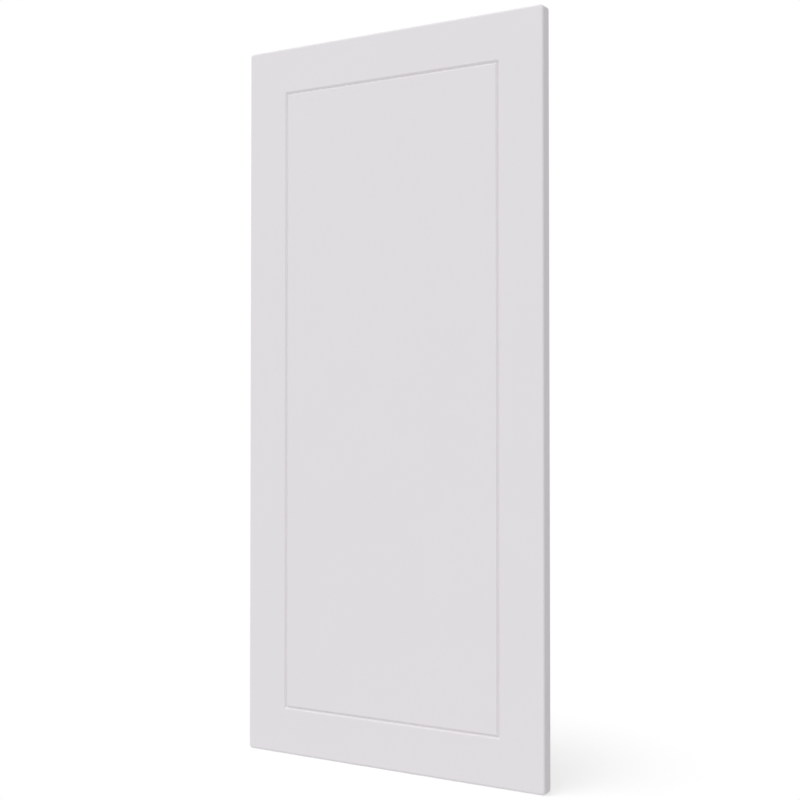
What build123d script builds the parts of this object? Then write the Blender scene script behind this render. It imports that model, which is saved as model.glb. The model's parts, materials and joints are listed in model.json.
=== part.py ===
from build123d import *
import os

# A kitchen cabinet door: one slab of medium-density fibreboard, wrapped at the front in
# matt foil. Its front rim is rounded, a V-groove is routed into the front as a frame,
# and the back is bored for concealed cup hinges.
# Millimetres. +Z is up and the front faces -Y. The origin is the middle of the bottom
# edge, halfway through the thickness.

# The slab
door_width = 446.0
door_height = 956.0
door_thickness = 16.0
outline_corner_radius = 5.0  # the four corners, seen from the front
front_rim_radius = 3.0  # where the front turns into the edges
back_arris = 0.3  # bevel left by trimming the foil flush with the back

# The groove in the front, cut by a V-shaped router bit
groove_inset = 62.5  # from each edge of the door to the middle of the groove
groove_width = 5.0
groove_depth = 2.5  # to the point of the V, before it is rounded
groove_root_radius = 0.6
groove_lip_radius = 0.5

# The borings in the back, one set for each hinge, on the left as seen from the front
hinge_count = 3
hinge_end_distance = 100.0  # from the top or bottom of the door to the outermost cups
cup_diameter = 35.0
cup_depth = 13.0
cup_edge_web = 5.0  # wood left between a cup and the edge of the door
screw_hole_diameter = 2.5
screw_hole_depth = 10.0
screw_hole_spacing = 45.0  # the two screws of a hinge, one above the other
screw_hole_offset = 9.5  # from the middle of the cup, away from the edge

# Places that follow from the sizes
front_y = -door_thickness / 2
back_y = door_thickness / 2
middle_z = door_height / 2
groove_side_x = door_width / 2 - groove_inset
groove_top_z = door_height - groove_inset
cup_x = -door_width / 2 + cup_edge_web + cup_diameter / 2
screw_hole_x = cup_x + screw_hole_offset
hinge_spacing = (door_height - 2 * hinge_end_distance) / (hinge_count - 1)

# Section of the router bit at work, with its point at the bottom of the groove. The local
# origin is on the front of the door, x runs across the groove and y out of the door. The
# bit widens evenly, so it is twice as wide as the groove at a groove's depth above it.
with BuildSketch() as bit_section:
    with BuildLine():
        Polyline((-groove_width, groove_depth), (0, -groove_depth), (groove_width, groove_depth), close=True)
    make_face()
    fillet(bit_section.vertices().sort_by(Axis.Y)[0], groove_root_radius)

with BuildSketch() as half_bit_section:
    add(bit_section.sketch)
    Rectangle(groove_width, 2 * groove_depth, align=(Align.MIN, Align.CENTER), mode=Mode.INTERSECT)

# The bit follows a rectangle. Outside each corner of its path it leaves a quarter of its
# own cone, and inside the corner the two runs meet in a ridge. One quarter of the groove
# is made, from the middle of the top to the middle of the right side, and mirrored twice.
top_run_start = Plane(origin=(0, front_y, groove_top_z), x_dir=(0, 0, 1), z_dir=(1, 0, 0))
side_run_start = Plane(origin=(groove_side_x, front_y, middle_z), x_dir=(-1, 0, 0), z_dir=(0, 0, 1))
groove_corner = Plane(origin=(groove_side_x, front_y, groove_top_z), x_dir=(0, 0, 1), z_dir=(1, 0, 0))

with BuildPart() as groove:
    with BuildSketch(top_run_start):
        add(bit_section.sketch)
    extrude(amount=groove_side_x)
    with BuildSketch(side_run_start):
        add(bit_section.sketch)
    extrude(amount=groove_top_z - middle_z)
    with BuildSketch(groove_corner):
        add(half_bit_section.sketch)
    revolve(axis=Axis(groove_corner.origin, (0, 1, 0)), revolution_arc=90)
    mirror(about=Plane.YZ)
    mirror(about=Plane.XY.offset(middle_z))

# The door, from the slab to the last boring
front_plane = Plane(origin=(0, front_y, middle_z), x_dir=(1, 0, 0), z_dir=(0, -1, 0))
cup_plane = Plane(origin=(cup_x, back_y, middle_z), x_dir=(-1, 0, 0), z_dir=(0, 1, 0))
screw_hole_plane = Plane(origin=(screw_hole_x, back_y, middle_z), x_dir=(-1, 0, 0), z_dir=(0, 1, 0))

with BuildPart() as door_panel:
    with BuildSketch(front_plane):
        RectangleRounded(door_width, door_height, outline_corner_radius)
    extrude(amount=-door_thickness)
    fillet(door_panel.faces().sort_by(Axis.Y)[0].edges(), front_rim_radius)
    chamfer(door_panel.faces().sort_by(Axis.Y)[-1].edges(), back_arris)

    # The groove parts the front into a frame and a centre, level with each other, and
    # both of its lips are rounded
    add(groove.part, mode=Mode.SUBTRACT)
    front_faces = door_panel.faces().filter_by(Plane.XZ).group_by(Axis.Y)[0]
    centre_face, frame_face = front_faces.sort_by(lambda face: face.bounding_box().size.X)
    fillet(centre_face.edges() + frame_face.inner_wires()[0].edges(), groove_lip_radius)

    with Locations(cup_plane):
        with GridLocations(0, hinge_spacing, 1, hinge_count):
            Hole(cup_diameter / 2, cup_depth)
    with Locations(screw_hole_plane):
        with GridLocations(0, hinge_spacing, 1, hinge_count):
            with GridLocations(0, screw_hole_spacing, 1, 2):
                Hole(screw_hole_diameter / 2, screw_hole_depth)

door_panel.part.label = "door_panel"

os.makedirs("parts", exist_ok=True)
export_step(door_panel.part, "parts/door_panel.step")
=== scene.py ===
import json
import math

import bpy
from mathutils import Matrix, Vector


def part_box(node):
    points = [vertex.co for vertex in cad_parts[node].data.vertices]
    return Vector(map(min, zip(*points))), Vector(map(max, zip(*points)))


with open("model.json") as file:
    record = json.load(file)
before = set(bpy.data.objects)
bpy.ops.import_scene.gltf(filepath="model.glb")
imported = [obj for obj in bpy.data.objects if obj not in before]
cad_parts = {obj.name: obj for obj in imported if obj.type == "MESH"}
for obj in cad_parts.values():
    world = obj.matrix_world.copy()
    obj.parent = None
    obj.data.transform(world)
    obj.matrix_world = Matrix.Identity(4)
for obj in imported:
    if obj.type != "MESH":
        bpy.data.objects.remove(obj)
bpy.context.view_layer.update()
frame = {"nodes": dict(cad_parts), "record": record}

# A kitchen cabinet door on its bottom edge, with its front towards -Y. Places are in metres,
# and the patterns of its finish are worked out in millimetres.
# The door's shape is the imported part. Its finish, the floor, the light and the camera are here.
door = frame["nodes"]["door_panel"]
doorLow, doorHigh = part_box("door_panel")
mounts = {mount["name"]: mount for mount in frame["record"]["mounts"]}
millimetresPerMetre = 1000.0
print("frame: loaded")


# One output of a node. Python's operators work on it, and each one adds a Math node.
class Signal:
    def __init__(self, maker, socket):
        self.maker = maker
        self.socket = socket

    def math(self, operation, *values):
        return self.maker.add("ShaderNodeMath", {"operation": operation}, dict(enumerate(values)))

    def __add__(self, other):
        return self.math("ADD", self, other)

    def __radd__(self, other):
        return self.math("ADD", other, self)

    def __sub__(self, other):
        return self.math("SUBTRACT", self, other)

    def __rsub__(self, other):
        return self.math("SUBTRACT", other, self)

    def __mul__(self, other):
        return self.math("MULTIPLY", self, other)

    def __rmul__(self, other):
        return self.math("MULTIPLY", other, self)

    def __mod__(self, other):
        return self.math("FLOORED_MODULO", self, other)

    def __pow__(self, other):
        return self.math("POWER", self, other)

    def __gt__(self, other):
        return self.math("GREATER_THAN", self, other)

    def __lt__(self, other):
        return self.math("LESS_THAN", self, other)

    def __abs__(self):
        return self.math("ABSOLUTE", self)

    def atLeast(self, other):
        return self.math("MAXIMUM", self, other)

    def atMost(self, other):
        return self.math("MINIMUM", self, other)


noiseMiddle = 0.5  # of what a Noise Texture gives
noiseStretch = 3.0  # brings it to about 1 either way


# Adds nodes to one tree, which starts empty
class NodeMaker:
    def __init__(self, tree):
        self.tree = tree
        tree.nodes.clear()

    # The settings come before the inputs, because some of them decide which sockets a node has
    def add(self, kind, settings=None, inputs=None, output=0):
        node = self.tree.nodes.new(kind)
        for name, value in (settings or {}).items():
            setattr(node, name, value)
        for name, value in (inputs or {}).items():
            socket = self.findSocket(node.inputs, name)
            if isinstance(value, Signal):
                self.tree.links.new(value.socket, socket)
            else:
                socket.default_value = value
        if len(node.outputs) == 0:
            return None
        return Signal(self, self.findSocket(node.outputs, output))

    def findSocket(self, sockets, name):
        if isinstance(name, int):
            return sockets[name]
        return next(socket for socket in sockets if socket.enabled and socket.name == name)

    def mixColours(self, factor, first, second):
        inputs = {"Factor": factor, "A": first, "B": second}
        return self.add("ShaderNodeMix", {"data_type": "RGBA"}, inputs, "Result")

    def mixValues(self, factor, first, second):
        inputs = {"Factor": factor, "A": first, "B": second}
        return self.add("ShaderNodeMix", {"data_type": "FLOAT"}, inputs, "Result")

    # 0 below the start, 1 above the end, and an even rise between them
    def rise(self, value, start, end):
        inputs = {"Value": value, "From Min": start, "From Max": end}
        return self.add("ShaderNodeMapRange", {"clamp": True}, inputs)

    # A cloudy pattern round 0, mostly between -1 and 1, whose patches are about as wide as the size
    def clouds(self, place, size, detail=2.0):
        inputs = {"Vector": place, "Scale": 1 / size, "Detail": detail}
        noise = self.add("ShaderNodeTexNoise", {"noise_dimensions": "3D"}, inputs)
        return (noise - noiseMiddle) * noiseStretch


# A pattern between -1 and 1, brought to between 0 and 1
def asShare(pattern):
    return pattern * 0.5 + 0.5


def rgba(colour):
    return (*colour, 1.0)


def scaled(colour, factor):
    return rgba(channel * factor for channel in colour)


# The door's edges, in millimetres
outline = {
    "cornerRadius": 5.0,  # the door's corners, seen from the front
    "foilDepth": 0.35,  # of the foil's cut edge, round the back
    "hairline": 0.02,  # what still counts as on a face
}


def heightOf(mount):
    return mount["pos_m"][2] * millimetresPerMetre


def hypotenuse(first, second):
    return (first * first + second * second) ** 0.5


# Where a point of the door lies, in millimetres. The height is folded over the hinges' spacing, so
# that every hinge comes to the lowest one's place.
def findPlace(maker):
    inMetres = maker.add("ShaderNodeTexCoord", output="Object")
    inputs = {"Vector": inMetres, "Scale": millimetresPerMetre}
    point = maker.add("ShaderNodeVectorMath", {"operation": "SCALE"}, inputs)
    across, through, up = (
        maker.add("ShaderNodeSeparateXYZ", inputs={"Vector": point}, output=axis) for axis in "XYZ"
    )
    place = {"point": point}

    middle = (doorLow + doorHigh) / 2 * millimetresPerMetre
    half = (doorHigh - doorLow) / 2 * millimetresPerMetre
    radius = outline["cornerRadius"]
    pastX = abs(across - middle.x) - (half.x - radius)
    pastZ = abs(up - middle.z) - (half.z - radius)
    cornerGap = radius - hypotenuse(pastX.atLeast(0.0), pastZ.atLeast(0.0))
    place["fromOutline"] = cornerGap - pastX.atLeast(pastZ).atMost(0.0)

    place["fromBack"] = doorHigh.y * millimetresPerMetre - through
    place["fromFront"] = through - doorLow.y * millimetresPerMetre

    cups = sorted((mount for name, mount in mounts.items() if name.startswith("hinge_cup")), key=heightOf)
    screws = mounts["hinge_screws_middle"]
    lowest = heightOf(cups[0])
    spacing = heightOf(cups[1]) - lowest
    along = (up - (lowest - spacing / 2)) % spacing - spacing / 2
    cupAcross = across - cups[0]["pos_m"][0] * millimetresPerMetre
    screwAcross = across - screws["pos_m"][0] * millimetresPerMetre
    screwAlong = abs(along) - screws["dims"]["spacing_y_mm"] / 2
    place["fromCup"] = hypotenuse(cupAcross, along)
    place["cupRadius"] = cups[0]["dims"]["r_mm"]
    place["cupDepth"] = cups[0]["dims"]["length_mm"]
    place["fromScrew"] = hypotenuse(screwAcross, screwAlong)
    place["screwRadius"] = screws["dims"]["hole_r_mm"]
    return place


# A finish is its colour, its roughness and its relief, a height. All lengths are in millimetres.
# The matt foil wraps the front, the groove and the edges. Off the flat front it is stretched over
# the board, and there it is glossier, and its colour is a little paler and less tinted: partly the
# stretched foil's own tone and partly painted light that lifts the shade in the groove and on the rounded
# edges.
foil = {
    "colour": (0.742, 0.7178, 0.7428),
    # Paler than the flat front: partly the stretched foil's tone, partly painted light on the groove and
    # edges
    "stretchedPaintedLightColour": (0.754, 0.731, 0.7545),
    "colourSpread": 0.006,  # slow change of the tint over the door
    "grainSpread": 0.026,  # pigment, seen from close by
    "roughness": 0.56,
    "stretchedRoughness": 0.48,
    "stretchDepth": 1.2,  # below the front, where the foil is fully stretched
    "grainSize": 0.38,
    "grainRelief": 0.013,
    "grainRoughness": 0.03,  # how much the roughness changes with the grain
    "peelSize": 3.6,  # slow waves, as of orange peel
    "peelDetail": 1.0,
    "peelRelief": 0.012,
    "cloudSize": 120.0,
    "cloudRoughness": 0.02,
}


def makeFoil(maker, place):
    grain = maker.clouds(place["point"], foil["grainSize"])
    peel = maker.clouds(place["point"], foil["peelSize"], foil["peelDetail"])
    cloud = maker.clouds(place["point"], foil["cloudSize"])
    spread = foil["colourSpread"] + foil["grainSpread"]
    tint = asShare(cloud * (foil["colourSpread"] / spread) + grain * (foil["grainSpread"] / spread))
    # The colour off the flat front is paler, partly painted light that lifts the shade in the groove and on
    # the rounded edges
    flat, stretchedWithPaintedLight = (
        maker.mixColours(tint, scaled(foil[name], 1 - spread), scaled(foil[name], 1 + spread))
        for name in ("colour", "stretchedPaintedLightColour")
    )
    stretch = maker.rise(place["fromFront"], outline["hairline"], foil["stretchDepth"])
    roughness = maker.mixValues(stretch, foil["roughness"], foil["stretchedRoughness"])
    return {
        "colour": maker.mixColours(stretch, flat, stretchedWithPaintedLight),
        "roughness": roughness + grain * foil["grainRoughness"] + cloud * foil["cloudRoughness"],
        "relief": grain * foil["grainRelief"] + peel * foil["peelRelief"],
    }


# The foil's cut edge shows in the small bevel round the back
cutEdge = {
    "colour": (0.66, 0.635, 0.655),
    "darkening": 0.1,  # in the scrapes, at most
    "roughness": 0.75,
    "scrapeSize": 0.18,
    "scrapeRelief": 0.012,
    "scrapeRoughness": 0.05,
}


def makeCutEdge(maker, place):
    scrape = maker.clouds(place["point"], cutEdge["scrapeSize"])
    dark = scaled(cutEdge["colour"], 1 - cutEdge["darkening"])
    return {
        "colour": maker.mixColours(asShare(scrape), dark, rgba(cutEdge["colour"])),
        "roughness": cutEdge["roughness"] + scrape * cutEdge["scrapeRoughness"],
        "relief": scrape * cutEdge["scrapeRelief"],
    }


# The white resin-paper facing on the back, with its fine pearl emboss
facing = {
    "colour": (0.835, 0.835, 0.82),
    "colourSpread": 0.012,
    "roughness": 0.44,
    "pearlSize": 0.9,
    "pearlRelief": 0.014,
    "pearlRoughness": 0.05,
    "fleckSize": 0.22,
    "fleckShare": 0.5,  # of the change of colour, and the slow clouds make up the rest
    "cloudSize": 150.0,
    "cloudRoughness": 0.02,
    "thickness": 0.12,
}


def makeFacing(maker, place):
    pearl = maker.clouds(place["point"], facing["pearlSize"])
    fleck = maker.clouds(place["point"], facing["fleckSize"])
    cloud = maker.clouds(place["point"], facing["cloudSize"])
    tint = asShare(cloud * (1 - facing["fleckShare"]) + fleck * facing["fleckShare"])
    dark = scaled(facing["colour"], 1 - facing["colourSpread"])
    light = scaled(facing["colour"], 1 + facing["colourSpread"])
    roughness = facing["roughness"] + pearl * facing["pearlRoughness"] + cloud * facing["cloudRoughness"]
    return {
        "colour": maker.mixColours(tint, dark, light),
        "roughness": roughness,
        "relief": pearl * facing["pearlRelief"],
    }


# Bare fibreboard in the borings: dense and dark near both faces, paler and looser in the core, with
# fibres that lie in the plane of the board, and the marks of the hinge bit on the floor of each cup.
# The marks are darkened in the centre point's dimple and the spurs' ring, partly the bit's burn and partly
# painted shade in these hollows.
board = {
    "denseColour": (0.315, 0.200, 0.108),
    "coreColour": (0.455, 0.315, 0.185),
    "fibreColour": (0.62, 0.47, 0.31),
    "roughness": 0.92,
    "fibreRoughness": 0.04,
    "denseDepth": 4.5,  # below either face
    "fibreSize": 0.55,
    "fibreDetail": 4.0,
    "fibreFlatness": 4.0,  # how much longer a fibre is along the board than through it
    "fibreRelief": 0.05,
    "fibreStart": 0.1,  # of the pattern, where the pale fibres begin to show
    "fibreEnd": 1.3,  # and where they show fully
    "fibreStrength": 0.7,
    "strandSize": 2.2,  # of the bundles that the fibres lie in
    "strandDetail": 3.0,
    "strandStrength": 0.5,
    "ringSize": 0.7,
    "ringRelief": 0.035,
    "ringShade": 0.12,
    "scribeWidth": 0.5,  # the ring that the bit's spurs cut round the floor
    "scribeStrength": 0.4,  # next to the dimple's
    "pointRadius": 1.3,  # the dimple of the bit's centre point
    "markDepth": 0.5,
    # How much the marks are darkened: partly the bit's burn, partly painted shade in the dimple and the
    # spurs' ring
    "markShade": 0.6,
    "markDarkness": 0.5,
}


def makeBoard(maker, place):
    flatten = {0: place["point"], 1: (1.0, board["fibreFlatness"], 1.0)}
    flattened = maker.add("ShaderNodeVectorMath", {"operation": "MULTIPLY"}, flatten)
    fibres = maker.clouds(flattened, board["fibreSize"], board["fibreDetail"])
    strands = maker.clouds(flattened, board["strandSize"], board["strandDetail"])
    nearestFace = place["fromBack"].atMost(place["fromFront"])
    core = maker.rise(nearestFace, 0.0, board["denseDepth"])
    ground = maker.mixColours(core, rgba(board["denseColour"]), rgba(board["coreColour"]))
    tangle = fibres + strands * board["strandStrength"]
    paler = maker.rise(tangle, board["fibreStart"], board["fibreEnd"]) * board["fibreStrength"]
    fibred = maker.mixColours(paler, ground, rgba(board["fibreColour"]))

    onFloor = place["fromBack"] > place["cupDepth"] - outline["hairline"]
    circles = maker.add("ShaderNodeCombineXYZ", inputs={"X": place["fromCup"]})
    rings = maker.clouds(circles, board["ringSize"])
    scribe = place["fromCup"] > place["cupRadius"] - board["scribeWidth"]
    point = 1 - maker.rise(place["fromCup"], 0.0, board["pointRadius"])
    marks = onFloor * (scribe * board["scribeStrength"] + point).atMost(1.0)
    # Painted shade, with the bit's burn, in the dimple and the spurs' ring, plus the tool rings' own light
    # and dark
    shade = (marks * board["markShade"] + onFloor * (rings * board["ringShade"])).atLeast(0.0)
    relief = fibres * board["fibreRelief"] + onFloor * rings * board["ringRelief"]
    return {
        "colour": maker.mixColours(shade, fibred, scaled(board["denseColour"], board["markDarkness"])),
        "roughness": board["roughness"] + fibres * board["fibreRoughness"],
        "relief": relief - marks * board["markDepth"],
    }


# Lays one finish over another where the mask is 1
def lay(maker, lower, upper, mask):
    return {
        "colour": maker.mixColours(mask, lower["colour"], upper["colour"]),
        "roughness": maker.mixValues(mask, lower["roughness"], upper["roughness"]),
        "relief": maker.mixValues(mask, lower["relief"], upper["relief"]),
    }


# Which finish shows where. The borings are the only surface well inside the outline and off both faces.
seams = {
    "glueWidth": 0.14,  # of board and glue between the foil and the facing
    "chipWidth": 0.22,  # of facing broken off round each boring, at most
    "chipSize": 0.9,
    "inside": 2.5,  # further in from the outline than this is no edge
    "grooveDepth": 2.6,  # deeper than this is no groove
}


def makeDoorMaterial():
    material = bpy.data.materials.new("mattFoilOnFibreboard")
    material.use_nodes = True
    maker = NodeMaker(material.node_tree)
    place = findPlace(maker)

    chips = maker.clouds(place["point"], seams["chipSize"]).atLeast(0.0) * seams["chipWidth"]
    onBack = place["fromBack"] < outline["hairline"]
    pastFoil = place["fromOutline"] > outline["foilDepth"]
    pastGlue = place["fromOutline"] > outline["foilDepth"] + seams["glueWidth"]
    clearOfCup = place["fromCup"] > chips + place["cupRadius"]
    clearOfScrew = place["fromScrew"] > chips + place["screwRadius"]
    inside = place["fromOutline"] > seams["inside"]
    belowFacing = place["fromBack"] > facing["thickness"]
    offGroove = place["fromFront"] > seams["grooveDepth"]

    inBoring = inside * belowFacing * offGroove
    bare = inBoring.atLeast(onBack * pastFoil * (1 - pastGlue * clearOfCup * clearOfScrew))
    facingsCut = inside * (place["fromBack"] < facing["thickness"])  # it shows in the borings' walls
    faced = facingsCut.atLeast(onBack * pastFoil)
    atCut = (place["fromBack"] < outline["foilDepth"]) * (1 - pastFoil)

    finish = makeFoil(maker, place)
    finish = lay(maker, finish, makeCutEdge(maker, place), atCut)
    finish = lay(maker, finish, makeFacing(maker, place), faced)
    finish = lay(maker, finish, makeBoard(maker, place), bare)

    bump = {"Distance": 1 / millimetresPerMetre, "Height": finish["relief"]}
    inputs = {
        "Base Color": finish["colour"],
        "Roughness": finish["roughness"],
        "Normal": maker.add("ShaderNodeBump", inputs=bump),
    }
    surface = maker.add("ShaderNodeBsdfPrincipled", inputs=inputs)
    maker.add("ShaderNodeOutputMaterial", inputs={"Surface": surface})
    return material


door.data.materials[0] = makeDoorMaterial()
print("door: finished")

# What the camera sees of the floor and the surround is white at this strength
whiteStrength = 1.0

# The floor. It is seen nearly white and keeps the door's shadow, and further off it is all white.
# Light for the door comes up through it, so that the surround reaches the door from all sides.
floorValues = {
    "halfWidth": 60.0,
    "seenColour": (0.98, 0.98, 0.98),
    "fadeStart": 0.1,  # from the door's middle
    "fadeEnd": 0.42,
}


# 1 for what the camera sees, straight or in a gloss or through glass, and 0 for the light on the door
def seenByCamera(maker):
    kinds = ("Is Camera Ray", "Is Glossy Ray", "Is Transmission Ray")
    camera, glossy, through = (maker.add("ShaderNodeLightPath", output=kind) for kind in kinds)
    return camera.atLeast(glossy).atLeast(through)


def makeFloorMaterial():
    material = bpy.data.materials.new("paleFloor")
    material.use_nodes = True
    maker = NodeMaker(material.node_tree)
    unseen = maker.add("ShaderNodeBsdfTransparent")
    shadowed = maker.add("ShaderNodeBsdfDiffuse", inputs={"Color": rgba(floorValues["seenColour"])})
    white = maker.add("ShaderNodeEmission", inputs={"Strength": whiteStrength})
    here = maker.add("ShaderNodeTexCoord", output="Object")
    fromDoor = maker.add("ShaderNodeVectorMath", {"operation": "LENGTH"}, {0: here}, "Value")
    fade = maker.rise(fromDoor, floorValues["fadeStart"], floorValues["fadeEnd"])
    seen = maker.add("ShaderNodeMixShader", inputs={0: fade, 1: shadowed, 2: white})
    surface = maker.add("ShaderNodeMixShader", inputs={0: seenByCamera(maker), 1: unseen, 2: seen})
    maker.add("ShaderNodeOutputMaterial", inputs={"Surface": surface})
    return material


def makeFloor():
    half = floorValues["halfWidth"]
    corners = [(-half, -half, 0), (half, -half, 0), (half, half, 0), (-half, half, 0)]
    mesh = bpy.data.meshes.new("floor")
    mesh.from_pydata(corners, [], [(0, 1, 2, 3)])
    mesh.materials.append(makeFloorMaterial())
    floor = bpy.data.objects.new("floor", mesh)
    bpy.context.scene.collection.objects.link(floor)
    return floor


makeFloor()
print("floor: made")

# A soft surround, a little brighter above and on the right. It has a darker panel in it, to the
# right of the door and a little behind it, which shades the door's right edge. A broad lamp stands
# in front, high up on the left. The angles are in degrees.
studio = {
    "surround": 0.851,
    "slantRight": 0.125,  # how much brighter the surround is all the way to the right, as a share
    "slantUp": 0.05,  # and all the way up
    "panelTowards": (0.940, 0.342, 0.0),  # to the right, and 20 degrees backwards
    "panelShade": 0.95,  # how much of the surround it takes away
    "panelEdge": (50, 21),  # where its soft edge starts and ends, measured from its middle
    "lampStrength": 0.98,
    "lampSpread": 50,  # how wide it looks from the door
    "lampHeight": 55,  # above the horizon
    "lampTurn": -35,  # 0 is straight in front of the door, and its right side is positive
}


def makeSurround():
    world = bpy.data.worlds.new("studio")
    world.use_nodes = True
    bpy.context.scene.world = world
    maker = NodeMaker(world.node_tree)
    direction = maker.add("ShaderNodeTexCoord", output="Generated")
    across, up = (
        maker.add("ShaderNodeSeparateXYZ", inputs={"Vector": direction}, output=axis) for axis in "XZ"
    )
    inputs = {0: direction, 1: studio["panelTowards"]}
    nearPanel = maker.add("ShaderNodeVectorMath", {"operation": "DOT_PRODUCT"}, inputs, "Value")
    start, end = (math.cos(math.radians(angle)) for angle in studio["panelEdge"])
    shaded = 1 - maker.rise(nearPanel, start, end) * studio["panelShade"]
    slanted = across * studio["slantRight"] + up * studio["slantUp"] + 1
    given = slanted * shaded * studio["surround"]
    strength = maker.mixValues(seenByCamera(maker), given, whiteStrength)
    white = rgba((1.0, 1.0, 1.0))
    backdrop = maker.add("ShaderNodeBackground", inputs={"Color": white, "Strength": strength})
    maker.add("ShaderNodeOutputWorld", inputs={"Surface": backdrop})


def makeLamp():
    data = bpy.data.lights.new("lamp", "SUN")
    data.energy = studio["lampStrength"]
    data.angle = math.radians(studio["lampSpread"])
    lamp = bpy.data.objects.new("lamp", data)
    lamp.rotation_euler = (math.radians(90 - studio["lampHeight"]), 0, math.radians(studio["lampTurn"]))
    bpy.context.scene.collection.objects.link(lamp)


makeSurround()
makeLamp()
print("light: made")

# The camera stands to the right of the door at half its height, and looks a little upwards
cameraValues = {
    "place": (0.90822, -1.46563, 0.45960),
    "turn": 31.363,  # to the left, in degrees
    "tilt": 1.180,  # upwards, in degrees
    "lens": 59.794,  # in millimetres
    "sensorWidth": 36,  # in millimetres
    "shiftUp": -0.01844,
}


def makeCamera():
    data = bpy.data.cameras.new("camera")
    data.sensor_width = cameraValues["sensorWidth"]
    data.lens = cameraValues["lens"]
    data.shift_y = cameraValues["shiftUp"]
    camera = bpy.data.objects.new("camera", data)
    camera.location = cameraValues["place"]
    camera.rotation_euler = (math.radians(90 + cameraValues["tilt"]), 0, math.radians(cameraValues["turn"]))
    bpy.context.scene.collection.objects.link(camera)
    bpy.context.scene.camera = camera


makeCamera()
bpy.context.scene.view_settings.view_transform = "Standard"
print("camera: placed")
